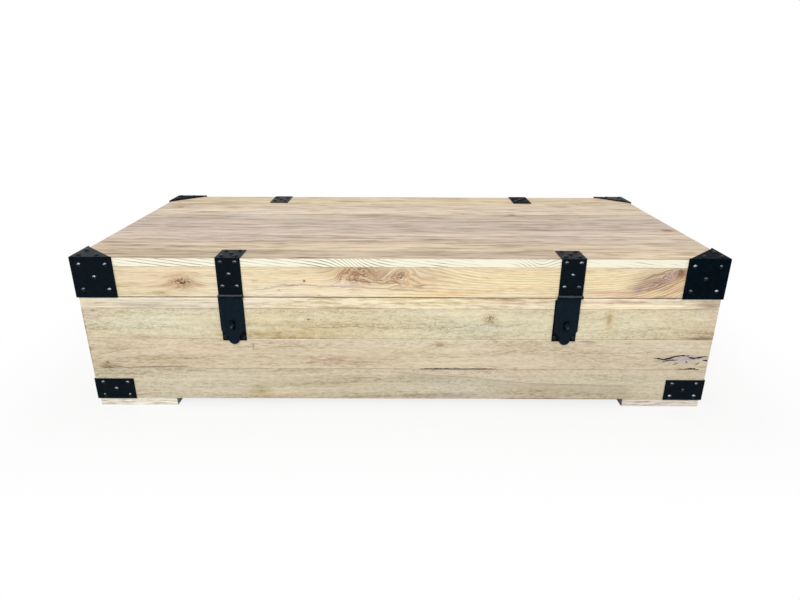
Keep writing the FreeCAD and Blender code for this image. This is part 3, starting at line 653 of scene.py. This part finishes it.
# ---- lid ----
# A frame of four aprons under a top of eleven long staves, glued edge to edge.
# The top is a shade greyer than the walls, and the sawn edges of its outer
# staves are the palest wood on the chest.
APRON_TONES = ((0.815, 0.69, 0.462), (0.8, 0.705, 0.506))
apron_looks = {
    "tones": APRON_TONES, "seed": 27.3, "streak": (3.0, 70.0, 1.1), "dash": (16.0, 240.0, 0.9),
    "rings": 0.0052, "lines": 0.25, "sway": 0.018,
    "bends": [
        patch(-0.098, 0.35, 0.038, 0.046, lift=0.038),
        patch(0.002, 0.343, 0.03, 0.036, lift=0.022),
        patch(0.045, 0.346, 0.105, 0.04, lift=0.026),
        patch(0.64, 0.31, 0.105, 0.12, lift=0.04),
        patch(0.66, 0.285, 0.06, 0.03, lift=0.024),
    ],
    "curls": [
        patch(-0.085, 0.324, 0.05, 0.02, strength=0.045),
        patch(0.008, 0.312, 0.026, 0.018, strength=0.05),
        patch(0.576, 0.318, 0.046, 0.012, 27.0, strength=0.034),
    ],
    "figured": [
        patch(-0.092, 0.326, 0.046, 0.02, strength=1.2),
        patch(0.008, 0.312, 0.036, 0.02, strength=0.55),
        patch(0.11, 0.303, 0.12, 0.035, strength=0.55),
        patch(0.3, 0.303, 0.09, 0.03, strength=0.35),
        patch(0.44, 0.3, 0.11, 0.035, strength=0.55),
        patch(0.572, 0.316, 0.052, 0.02, 27.0, strength=1.2),
        patch(0.58, 0.296, 0.06, 0.02, strength=0.6),
    ],
    "knots": [
        knot(-0.472, 0.304, 0.019, 0.0105, 0.95, 0.8, flecked=True),
        knot(-0.124, 0.32, 0.016, 0.003, 0.8, 0.2, 52.0, flecked=True),
        knot(-0.092, 0.31, 0.024, 0.0026, 0.95, 0.2, -6.0, flecked=True),
        knot(-0.042, 0.3085, 0.014, 0.002, 0.7, 0.2, -8.0, flecked=True),
        knot(-0.002, 0.3165, 0.014, 0.008, 0.75, 0.4, 35.0, flecked=True, lift=0.002),
        knot(0.602, 0.3276, 0.005, 0.008, 0.95, 0.7, 25.0),
        knot(0.572, 0.319, 0.04, 0.01, 0.45, 0.1, 27.0, flecked=True, lift=0.001),
        knot(-0.207, 0.307, 0.0028, 0.0026, 0.95, 0.4),
        knot(-0.315, 0.307, 0.006, 0.0016, 0.8, 0.4, flecked=True),
        knot(-0.262, 0.286, 0.0045, 0.0014, 0.7, 0.3, flecked=True),
        knot(-0.178, 0.2755, 0.0035, 0.0018, 0.8, 0.3, flecked=True),
        knot(-0.527, 0.2795, 0.01, 0.0024, 0.9, 0.8, flecked=True),
    ],
    "casts": stains_and_painted_light(
        (-0.035, 0.32, 0.095, 0.019, 0.85, (0.54, 0.385, 0.295)),
        (-0.088, 0.3265, 0.05, 0.0175, 1.0, (0.395, 0.25, 0.168)),
        (0.034, 0.305, 0.046, 0.016, 0.8, (0.66, 0.47, 0.34)),
        (0.006, 0.311, 0.012, 0.004, 0.9, (0.95, 0.8, 0.62)),
        (-0.128, 0.302, 0.022, 0.0075, 1.0, (0.7, 0.62, 0.6)),
        (-0.092, 0.2985, 0.036, 0.005, 0.8, (0.66, 0.54, 0.47)),
        (-0.011, 0.301, 0.008, 0.0028, 0.9, (0.97, 0.86, 0.7)),
        (-0.19, 0.281, 0.14, 0.007, 0.6, (0.92, 0.84, 0.68)),
        (-0.2, 0.2965, 0.06, 0.0045, 0.6, (0.68, 0.58, 0.5)),
        (0.1, 0.2775, 0.055, 0.0045, 0.9, (0.86, 0.58, 0.27)),
        (0.175, 0.289, 0.05, 0.01, 0.5, (0.9, 0.71, 0.42)),
        (0.24, 0.303, 0.16, 0.026, 0.7, (0.92, 0.8, 0.54)),
        (0.45, 0.308, 0.06, 0.03, 0.8, (0.94, 0.83, 0.57)),
        (-0.58, 0.305, 0.08, 0.04, 0.7, (0.715, 0.595, 0.385)),
        (0.4, 0.276, 0.07, 0.005, 0.7, (0.84, 0.62, 0.42)),
        (-0.476, 0.302, 0.03, 0.012, 0.8, (0.61, 0.48, 0.36)),
        (-0.498, 0.295, 0.032, 0.006, 0.8, (0.64, 0.45, 0.29)),
        (-0.446, 0.2955, 0.022, 0.0035, 0.7, (0.6, 0.4, 0.26)),
        (-0.54, 0.313, 0.06, 0.012, 0.35, (0.9, 0.68, 0.52)),
        (0.57, 0.313, 0.06, 0.02, 0.9, (0.64, 0.5, 0.385), 22.0),
        (0.533, 0.308, 0.032, 0.022, 1.0, (0.56, 0.44, 0.315), 25.0),
        (0.58, 0.319, 0.04, 0.011, 1.0, (0.63, 0.5, 0.475), 27.0),
        (0.598, 0.293, 0.024, 0.018, 0.6, (0.72, 0.5, 0.32)),
        (0.554, 0.28, 0.028, 0.007, 0.8, (0.84, 0.69, 0.45)),
        (0.516, 0.2895, 0.011, 0.008, 0.9, (0.5, 0.39, 0.42), 30.0),
        (0.46, 0.283, 0.045, 0.0035, 0.7, (0.66, 0.49, 0.42)),
        (0.48, 0.275, 0.05, 0.0045, 0.8, (0.8, 0.56, 0.36)),
        (0.56, 0.2725, 0.06, 0.0025, 0.8, (0.66, 0.45, 0.32)),
        (0.603, 0.3265, 0.01, 0.011, 0.8, (0.42, 0.25, 0.17)),
    ),
    "dark_lines": [
        dark_line(0.0024, 0.05, 0.5, (-0.345, 0.2845), (-0.298, 0.288), (-0.255, 0.295), (-0.217, 0.2985),
             (-0.16, 0.2955), (-0.133, 0.2955), (-0.098, 0.293), (-0.031, 0.29), (0.001, 0.2872),
             (0.055, 0.2856), jag=0.007, colour=(0.34, 0.26, 0.2, 1)),
        dark_line(0.0018, 0.03, 0.55, (-0.28, 0.2995), (-0.235, 0.2975), (-0.2, 0.296), jag=0.003),
        dark_line(0.0018, 0.012, 0.75, (-0.122, 0.3105), (-0.103, 0.3092), (-0.073, 0.306), (-0.048, 0.3035),
             (0.01, 0.301), jag=0.007),
        dark_line(0.0022, 0.012, 0.6, (0.02, 0.299), (0.045, 0.2975), (0.062, 0.2985), jag=0.006),
        dark_line(0.0024, 0.014, 0.75, (0.5206, 0.3099), (0.5435, 0.3231), (0.5589, 0.3258), (0.5718, 0.333),
             (0.59, 0.3362)),
        dark_line(0.0022, 0.012, 0.6, (0.5264, 0.2861), (0.5457, 0.2914), (0.5592, 0.2935), (0.578, 0.2999),
             colour=(0.24, 0.18, 0.17, 1)),
        dark_line(0.0022, 0.012, 0.6, (0.554, 0.2845), (0.5656, 0.2878), (0.5795, 0.2929), (0.5912, 0.3002),
             (0.6043, 0.3114)),
        dark_line(0.0018, 0.012, 0.5, (0.55, 0.2705), (0.5705, 0.2752), (0.59, 0.2817), (0.6122, 0.2916)),
        # A near-black line along the apron's lower edge, at the seam with the body: painted shade.
        dark_line(0.0019, 0.01, 0.85, (-0.71, 0.2698), (-0.2, 0.2704), (0.2, 0.27), (0.71, 0.2697), jag=0.0015,
             colour=CRACK_AND_SHADE_DARK),
    ],
}
LID_ARRIS = 0.001
front_pine = pine("lid_apron_front_pine", "front", half=BOARD_HALF, **apron_looks)
planed_board("lid_apron_front", "lid", front_pine, LID_ARRIS)
for side in ("back", "left", "right"):
    node = f"lid_apron_{side}"
    looks = chance_looks(node, side, APRON_TONES, 0.35)
    planed_board(node, "lid", pine(f"{node}_pine", side, **looks), LID_ARRIS)

STAVES = 11
STAVE_ARRIS = 0.0005
stave_low, stave_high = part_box("lid_top_staves")
stave_width = (stave_high.y - stave_low.y) / STAVES
STAVE_TONES = ((0.646, 0.526, 0.383), (0.76, 0.62, 0.451), (0.708, 0.582, 0.456), (0.731, 0.611, 0.502),
               (0.67, 0.552, 0.454), (0.669, 0.554, 0.453), (0.696, 0.588, 0.466), (0.85, 0.72, 0.554),
               (0.816, 0.677, 0.51), (0.81, 0.668, 0.461), (0.811, 0.668, 0.455))


def stave_index(place):
    return ((place.part(1) - stave_low.y) / stave_width).math("FLOOR")


def stave_number(place):
    """A different large number on each stave, so that no two share their grain."""
    index = stave_index(place)
    return index.node("ShaderNodeTexWhiteNoise", {"noise_dimensions": "1D"}, {"W": index}) * 9.0


JOINT_DARK = (0.48, 0.4, 0.33)
EDGE_PALE = (0.91, 0.88, 0.7, 1)
EDGE_LINE = (0.27, 0.23, 0.16, 1)
GLUE_LINE = (0.3, 0.23, 0.16, 1)
END_PALE = (0.8, 0.7, 0.52, 1)
END_LATE = (0.52, 0.4, 0.27, 1)
EDGE_LINE_PITCH = 0.0068
EDGE_SLANT = {"all_along": 0.14, "bend": 0.026, "bend_at": -0.105, "bend_reach": 0.038}
EDGE_ARCS = patch(0.298, 0.348, 0.032, 0.05, lift=0.02)
EDGE_FIGURES = (patch(-0.13, 0.348, 0.17, 0.03, strength=0.9),
                patch(0.3, 0.348, 0.07, 0.03, strength=0.65),
                patch(0.085, 0.344, 0.02, 0.008, strength=0.8),
                patch(-0.48, 0.35, 0.15, 0.02, strength=0.8),
                patch(0.5, 0.344, 0.14, 0.012, strength=0.25))


def edge_and_tone(place, colour, fibre, rough):
    """Each stave's own tone, and pale sawn wood with slanting lines on the outer edges."""
    stops = [(index / STAVES, tone + (1,)) for index, tone in enumerate(STAVE_TONES)]
    colour = colour.times(((stave_index(place) + 0.5) / STAVES).ramp(stops, "CONSTANT"))
    x, y, z = (place.part(axis) for axis in range(3))
    joint = abs(((y - stave_low.y) / stave_width).math("FRACT") - 0.5).rise(0.482, 0.496)
    colour = (joint * (fibre * 0.8 + 0.5)).blend(colour, colour.times(JOINT_DARK))
    beyond_x, beyond_y = abs(x) - stave_high.x, abs(y) - stave_high.y
    bend = ((x - EDGE_SLANT["bend_at"]) / EDGE_SLANT["bend_reach"]).math("TANH") * EDGE_SLANT["bend"]
    fall = z + x * EDGE_SLANT["all_along"] + bend + rough * 0.0016
    fall = fall + oval(x, z, EDGE_ARCS).bell() * EDGE_ARCS["lift"]
    line = (fall / EDGE_LINE_PITCH).math("FRACT")
    line = line.rise(0.58, 0.88) * line.rise(1.0, 0.94)
    weight = fibre * 0.8 + (place.times((16.0, 1.0, 120.0)).noise(3.0) - 0.5) * 2.2
    for each in EDGE_FIGURES:
        weight = weight + oval(x, z, each).bell() * each["strength"]
    sawn = (line * weight.math("MAXIMUM", 0.0)).blend(EDGE_PALE, EDGE_LINE)
    glue = abs(z - stave_low.z - 0.0008 + rough * 0.004).rise(0.001, 0.0003)
    sawn = (glue * (fibre * 1.6 + 0.55).math("MAXIMUM", 0.0)).blend(sawn, GLUE_LINE)
    arcs = ((y * y * 30.0 + z * 260.0) + rough * 0.8).math("FRACT").rise(0.2, 0.95)
    ends = (arcs * 0.45).blend(END_PALE, END_LATE)
    colour = beyond_y.rise(-0.0009, -0.0003).blend(colour, sawn)
    return beyond_x.rise(-0.0009, -0.0003).blend(colour, ends)


SMUDGE = (0.52, 0.46, 0.42)
PALE_STREAK = (1.18, 1.2, 1.22)
top_looks = {
    "tones": ((1.0, 1.0, 1.0), (0.92, 0.91, 0.92)), "seed": 55.0, "streak": (3.2, 52.0, 2.0),
    "dash": (11.0, 95.0, 2.5), "rings": 0.016, "lines": 0.1, "sway": 0.008,
    "knots": [
        knot(0.673, -0.085, 0.016, 0.014, 0.6, 0.8),
        knot(-0.642, 0.186, 0.011, 0.01, 0.5, 0.5),
        knot(0.311, 0.092, 0.012, 0.01, 0.45, 0.5),
    ],
    "casts": stains_and_painted_light(
        (-0.473, 0.054, 0.024, 0.007, 0.7, SMUDGE), (-0.372, -0.073, 0.03, 0.006, 0.7, SMUDGE),
        (-0.102, 0.06, 0.04, 0.008, 0.8, SMUDGE), (0.089, 0.055, 0.03, 0.007, 0.8, SMUDGE),
        (-0.134, -0.086, 0.034, 0.006, 0.8, SMUDGE), (0.022, -0.083, 0.028, 0.006, 0.8, SMUDGE),
        (0.434, 0.043, 0.03, 0.007, 0.7, SMUDGE), (0.534, -0.092, 0.03, 0.006, 0.6, SMUDGE),
        (-0.672, -0.216, 0.026, 0.008, 0.9, (0.46, 0.36, 0.26)),
        (-0.015, -0.217, 0.04, 0.003, 0.8, (0.9, 0.52, 0.42)),
        (-0.21, -0.34, 0.02, 0.004, 0.9, (0.4, 0.33, 0.27)),
        (0.191, -0.343, 0.016, 0.003, 0.9, (0.4, 0.33, 0.27)),
        (0.1, -0.138, 0.45, 0.006, 0.8, PALE_STREAK),
        (-0.45, 0.15, 0.2, 0.01, 0.7, PALE_STREAK),
        (-0.52, -0.318, 0.17, 0.026, 0.9, (0.82, 0.81, 0.78)),
        (0.54, -0.318, 0.17, 0.028, 1.0, (1.42, 1.43, 1.42)),
        (-0.56, -0.255, 0.13, 0.026, 0.95, (0.74, 0.75, 0.74)),
        (0.25, 0.3, 0.3, 0.04, 0.6, (1.1, 1.08, 1.05)),
    ),
}
STREAK_COLOURS = ((0.82, 0.73, 0.62), (0.8, 0.78, 0.8), (1.1, 1.11, 1.12), (1.03, 0.97, 0.86),
                  (0.74, 0.68, 0.62))
CHANCE_STREAKS = 30
top_looks["casts"] += stains_and_painted_light(*(
    (draw.uniform(-0.68, 0.68), draw.uniform(-0.34, 0.34), draw.uniform(0.04, 0.18),
     draw.uniform(0.004, 0.01), 0.8, STREAK_COLOURS[count % len(STREAK_COLOURS)])
    for count in range(CHANCE_STREAKS)))
top_pine = pine("lid_top_pine", "lid", shift=stave_number, edge=edge_and_tone, **top_looks)
stave_boxes = []
for index in range(STAVES):
    low = Vector((stave_low.x, stave_low.y + index * stave_width, stave_low.z))
    stave_boxes.append((low, Vector((stave_high.x, low.y + stave_width, stave_high.z))))
lid_top = planed_blocks("planed_lid_top", stave_boxes, STAVE_ARRIS)
stand_in(lid_top, "lid_top_staves", "lid", "lid_top_pine", top_pine)


# ---- iron plates ----
# Corner plates, straps, hinge leaves and the back plates of the hasps are cut
# from 2 mm sheet, the lid's corner plates from 3.5 mm, folded cold and painted
# black. Their cut edges are filed. Some plates get a duller coat, and the back
# plates of the hasps a darker one.
pin_low, pin_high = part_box("hasp_pin_left")
KNUCKLE_AXIS = (pin_low + pin_high) / 2
KNUCKLE_RADIUS = 0.004


def knuckle_highlight(place):
    """The upper, outer quarter of the knuckles of the hasps, painted lighter as a highlight."""
    out, up = KNUCKLE_AXIS.y - place.part(1), place.part(2) - KNUCKLE_AXIS.z
    high = up.rise(0.0012, 0.002) * up.rise(KNUCKLE_RADIUS + 0.0006, KNUCKLE_RADIUS)
    return high * out.rise(-0.0014, -0.0006)


PLATE_TONES = ((0.001, 0.0042, 0.0074, 1), (0.0024, 0.0064, 0.0102, 1))
DULL_TONES = ((0.001, 0.004, 0.007, 1), (0.0022, 0.006, 0.0096, 1))
BACK_TONES = ((0.0008, 0.0022, 0.0036, 1), (0.0016, 0.0036, 0.0056, 1))
iron = metal("black_iron", *PLATE_TONES, 0.34, specular=0.045)
# The knuckles of the straps of the hasps carry a painted highlight.
strap_iron = metal("strap_iron", *PLATE_TONES, 0.34, specular=0.045, highlight=knuckle_highlight)
dull_iron = metal("dull_iron", *DULL_TONES, 0.45, specular=0.012)
back_iron = metal("back_iron", *BACK_TONES, 0.34, specular=0.035)
FILED = 0.0003
SHORTEST_FILED = 0.003


def filed_copy(node, body, material):
    """A node's own shape with its long edges filed off, shown in its place."""
    shape = bmesh.new()
    shape.from_mesh(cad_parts[node].data)
    bmesh.ops.remove_doubles(shape, verts=shape.verts, dist=1e-6)
    bmesh.ops.dissolve_limit(shape, angle_limit=math.radians(1), verts=shape.verts, edges=shape.edges)
    sharp = [edge for edge in shape.edges
             if edge.calc_face_angle(0) > math.radians(40) and edge.calc_length() > SHORTEST_FILED]
    bmesh.ops.bevel(shape, geom=sharp, offset=FILED, offset_type="OFFSET", segments=2, profile=0.5,
                    affect="EDGES", material=-1, clamp_overlap=True)
    for face in shape.faces:
        face.smooth = True
        face.material_index = 0
    piece = new_piece(f"filed_{node}", shape)
    piece.data.set_sharp_from_angle(angle=math.radians(50))
    weighted = piece.modifiers.new("flat_faces", "WEIGHTED_NORMAL")
    weighted.keep_sharp = True
    stand_in(piece, node, body, "black_iron", material)


LID_COATS = {("front", "left"): iron, ("back", "left"): dull_iron,
             ("front", "right"): dull_iron, ("back", "right"): iron}
HINGE_COATS = {"left": iron, "right": dull_iron}
for end in ("left", "right"):
    for side in ("front", "back"):
        filed_copy(f"body_corner_{side}_{end}", "chest", iron)
        filed_copy(f"lid_corner_{side}_{end}", "lid", LID_COATS[side, end])
    filed_copy(f"hasp_strap_{end}", "lid", strap_iron)
    filed_copy(f"hinge_strap_{end}", "lid", HINGE_COATS[end])
    filed_copy(f"hinge_leaf_{end}", "chest", iron)
    filed_copy(f"hasp_back_plate_{end}", "chest", back_iron)
    dress(f"hasp_pin_{end}", iron)
    dress(f"hinge_pin_{end}", iron)


# ---- domed nails ----
# Hand forged nails with a low head hammered in flat facets, no two quite
# alike, driven through the plates into the wood. The facet that looks up is
# painted bright as a glint, a painted highlight, but not on the nails behind the hasps.
NAIL_TONES = ((0.002, 0.0036, 0.0048, 1), (0.005, 0.0065, 0.008, 1))
# The bright facet colour is a painted glint.
GLINT_TONES = ((0.36, 0.4, 0.44, 1), (0.08, 0.09, 0.1, 1))
nail_black = metal("nail_black", *NAIL_TONES, 0.1, specular=0.14, grain=240.0)
nail_glint = metal("nail_glint", *GLINT_TONES, 0.42, metallic=1.0, grain=38.0)
HEAD_RADIUS = 0.0055
HEAD_HEIGHT = 0.0032
HEAD_SIDES = 6
RIM_SHARE = 0.3
CROWN_SHARE = 0.62
CROWN_WIDTH = 0.5
SHANK_RADIUS = 0.00125
SHANK_LENGTH = 0.012
UNDER_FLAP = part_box("hasp_back_plate_left")[0].z + 0.01
FLAP_COVERS = 0.02


def nail_places(node):
    """Where each nail of a node sits, and which way its head looks."""
    shape = bmesh.new()
    shape.from_mesh(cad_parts[node].data)
    bmesh.ops.remove_doubles(shape, verts=shape.verts, dist=1e-6)
    left = set(shape.verts)
    places = []
    while left:
        found, front = set(), [left.pop()]
        while front:
            vert = front.pop()
            found.add(vert)
            for edge in vert.link_edges:
                other = edge.other_vert(vert)
                if other in left:
                    left.discard(other)
                    front.append(other)
        points = [v.co.copy() for v in found]
        low = Vector(min(p[i] for p in points) for i in range(3))
        high = Vector(max(p[i] for p in points) for i in range(3))
        size = high - low
        axis = max(range(3), key=lambda i: size[i])
        mean = sum(points, Vector()) / len(points)
        middle = (low + high) / 2
        sign = 1 if mean[axis] > middle[axis] else -1
        outward = Vector((0, 0, 0))
        outward[axis] = sign
        seat = middle.copy()
        seat[axis] = (high if sign > 0 else low)[axis] - sign * HEAD_HEIGHT
        places.append((seat, outward))
    shape.free()
    return sorted(places, key=lambda item: tuple(round(c, 4) for c in item[0]))


def one_nail(shape, seat, outward):
    """A head hammered in flat facets round a small crown, on a square-cut shank."""
    radius = HEAD_RADIUS * draw.uniform(0.94, 1.05)
    bmesh.ops.create_cone(shape, cap_ends=True, segments=HEAD_SIDES, radius1=radius, radius2=radius * 0.94,
                          depth=HEAD_HEIGHT * RIM_SHARE)
    bmesh.ops.translate(shape, vec=(0, 0, HEAD_HEIGHT * RIM_SHARE / 2), verts=shape.verts)
    shape.normal_update()
    under, crown = sorted((f for f in shape.faces if abs(f.normal.z) > 0.9), key=lambda f: f.normal.z)
    crown = bmesh.ops.extrude_discrete_faces(shape, faces=[crown])["faces"][0]
    bmesh.ops.scale(shape, vec=(CROWN_WIDTH, CROWN_WIDTH, 1), verts=crown.verts)
    bmesh.ops.translate(shape, vec=(0, 0, HEAD_HEIGHT * CROWN_SHARE), verts=crown.verts)
    for vert in shape.verts:
        vert.co *= draw.uniform(0.94, 1.04) if vert.co.z > HEAD_HEIGHT * 0.2 else 1.0
    bmesh.ops.inset_region(shape, faces=[under], thickness=HEAD_RADIUS - SHANK_RADIUS)
    pulled = bmesh.ops.extrude_discrete_faces(shape, faces=[under])["faces"]
    bmesh.ops.translate(shape, vec=(0, 0, -SHANK_LENGTH), verts=pulled[0].verts)
    aim = Vector((0, 0, 1)).rotation_difference(outward)
    up = aim.inverted() @ (Vector((0, 0, 1)) if abs(outward.z) < 0.5 else Vector((0, -1, 0)))
    facing = math.atan2(up.y, up.x) - math.pi / HEAD_SIDES + math.radians(draw.gauss(0, 9))
    turn = Matrix.Rotation(facing, 4, "Z")
    lean = Matrix.Rotation(math.radians(draw.uniform(-3, 3)), 4, "X")
    place = Matrix.Translation(seat) @ aim.to_matrix().to_4x4() @ lean @ turn
    bmesh.ops.transform(shape, matrix=place, verts=shape.verts)
    shape.normal_update()
    # Upward facets of nails on upright faces get the bright material: a painted highlight.
    can_glint = abs(outward.z) < 0.5 and abs(seat.z - UNDER_FLAP) > FLAP_COVERS
    for face in shape.faces:
        glinting = can_glint and face.normal.z > 0.45 and face.normal.dot(outward) > 0.5
        face.material_index = 1 if glinting and draw.random() < 0.9 else 0


def drive_nails(node, body):
    """All the nails of a node, shown in their place as one piece."""
    shape = bmesh.new()
    for seat, outward in nail_places(node):
        nail = bmesh.new()
        one_nail(nail, seat, outward)
        part = bpy.data.meshes.new("one_nail")
        nail.to_mesh(part)
        nail.free()
        shape.from_mesh(part)
        bpy.data.meshes.remove(part)
    bmesh.ops.recalc_face_normals(shape, faces=shape.faces)
    stand_in(new_piece(f"forged_{node}", shape), node, body, "domed_nails", nail_black, nail_glint)


drive_nails("lid_nails", "lid")
drive_nails("body_nails", "chest")


# ---- hasps ----
# Each flap hangs from its pin over a turn staple. The flap is the same sheet in
# a slightly lighter, bluer black, and its knuckle and the staple's eye carry
# painted highlights. The staple is turned across the slot to hold the flap, and
# takes the padlock.
FLAP_TONES = ((0.003, 0.0092, 0.016, 1), (0.005, 0.0118, 0.0195, 1))
STAPLE_EYE = patch(0.3685, 0.2065, 0.0035, 0.0022)


def staple_highlight(place):
    """A spot on the front of the eyes of both staples, painted lighter as a highlight."""
    return oval(abs(place.part(0)), place.part(2), STAPLE_EYE).bell()


# The flap's knuckle and the staple's eye get painted highlights.
flap_iron = metal("flap_iron", *FLAP_TONES, 0.4, specular=0.045, highlight=knuckle_highlight)
staple_iron = metal("staple_iron", *FLAP_TONES, 0.4, specular=0.03, highlight=staple_highlight)
for end in ("left", "right"):
    filed_copy(f"hasp_flap_{end}", f"hasp_{end}", flap_iron)
    dress(f"turn_staple_{end}", staple_iron)


# ---- lid stays ----
# A flat slotted arm at each end, screwed to the apron and running over a
# shouldered screw in the wall, stops the lid just past upright.
for end in ("left", "right"):
    dress(f"lid_stay_{end}", zinc)
dress("stay_pivot_screws", zinc)
dress("stay_guide_screws", zinc)


# ---- floor, light and camera ----
# A white floor that keeps only a soft shadow, soft light from all round with one
# high lamp in front, and a camera a little above the lid, square to the front.
# The bright glints on the nails are painted highlights.
def seen_by_eye(tree):
    """1 for rays from the camera or off gloss and glass, 0 for those that light the chest."""
    eye, gloss, glass = (Wire(tree).node("ShaderNodeLightPath", {}, {}, f"Is {ray} Ray")
                         for ray in ("Camera", "Glossy", "Transmission"))
    return (eye + gloss + glass).math("MINIMUM", 1.0)


FLOOR_REACH = 30.0
SHADOW_REACH = 0.45
SHADOW_SHARE = 0.18
WHITE = (1, 1, 1, 1)
FLOOR_PAINT = (0.86, 0.86, 0.86, 1)
floor_shape = bmesh.new()
bmesh.ops.create_grid(floor_shape, x_segments=1, y_segments=1, size=FLOOR_REACH)
floor = new_piece("floor", floor_shape)
floor_paint = bpy.data.materials.new("floor_white")
floor_paint.use_nodes = True
floor_paint.node_tree.nodes.clear()
seen = seen_by_eye(floor_paint.node_tree)
place = seen.node("ShaderNodeTexCoord", {}, {}, "Object")
beside = (abs(place.part(0)) - stave_high.x).math("MAXIMUM", 0.0)
before = (abs(place.part(1)) - stave_high.y).math("MAXIMUM", 0.0)
away = (beside * beside + before * before).math("SQRT").rise(0.0, SHADOW_REACH)
clear = away * SHADOW_SHARE + (1 - SHADOW_SHARE)
matt = seen.node("ShaderNodeBsdfDiffuse", {}, {"Color": FLOOR_PAINT})
white = seen.node("ShaderNodeEmission", {}, {"Color": WHITE, "Strength": 1.0})
clean = seen.node("ShaderNodeMixShader", {}, {0: seen * clear, 1: matt, 2: white})
clean.node("ShaderNodeOutputMaterial", {}, {"Surface": clean})
floor.data.materials.append(floor_paint)

AMBIENT = 0.65
world = bpy.data.worlds.new("studio")
world.use_nodes = True
bpy.context.scene.world = world
world.node_tree.nodes.clear()
seen = seen_by_eye(world.node_tree)
strength = seen * (1 - AMBIENT) + AMBIENT
glow = seen.node("ShaderNodeBackground", {}, {"Color": WHITE, "Strength": strength})
glow.node("ShaderNodeOutputWorld", {}, {"Surface": glow})

LAMP_AT = Vector((-0.5, -3.0, 2.5))
LAMP_TOWARDS = Vector((0, -0.35, 0.2))
LAMP_SIZE = (1.6, 1.0)
LAMP_POWER = 53.0
lamp = bpy.data.lights.new("key_lamp", "AREA")
lamp.shape = "RECTANGLE"
lamp.size, lamp.size_y = LAMP_SIZE
lamp.energy = LAMP_POWER
aim = (LAMP_TOWARDS - LAMP_AT).to_track_quat("-Z", "Y")
put_in_scene("key_lamp", lamp, Matrix.Translation(LAMP_AT) @ aim.to_matrix().to_4x4())

FRAME_WIDTH, FRAME_HEIGHT = 800.0, 600.0
FOCAL_PIXELS = 616.0
HORIZON_CENTRE = 325.0
CAMERA_AT = (-0.0017, -1.6135, 0.7237)
CAMERA_TURN, CAMERA_DIP, CAMERA_LEAN = -0.066, 22.292, 0.211
camera_data = bpy.data.cameras.new("camera")
camera_data.sensor_width = 36.0
camera_data.lens = camera_data.sensor_width * FOCAL_PIXELS / FRAME_WIDTH
camera_data.shift_y = (HORIZON_CENTRE - FRAME_HEIGHT / 2) / FRAME_WIDTH
turn = Matrix.Rotation(math.radians(CAMERA_TURN), 4, "Z")
tilt = Matrix.Rotation(math.radians(90 - CAMERA_DIP), 4, "X")
roll = Matrix.Rotation(math.radians(CAMERA_LEAN), 4, "Z")
camera = put_in_scene("camera", camera_data, Matrix.Translation(CAMERA_AT) @ turn @ tilt @ roll)
bpy.context.scene.camera = camera
bpy.context.scene.view_settings.view_transform = "Standard"
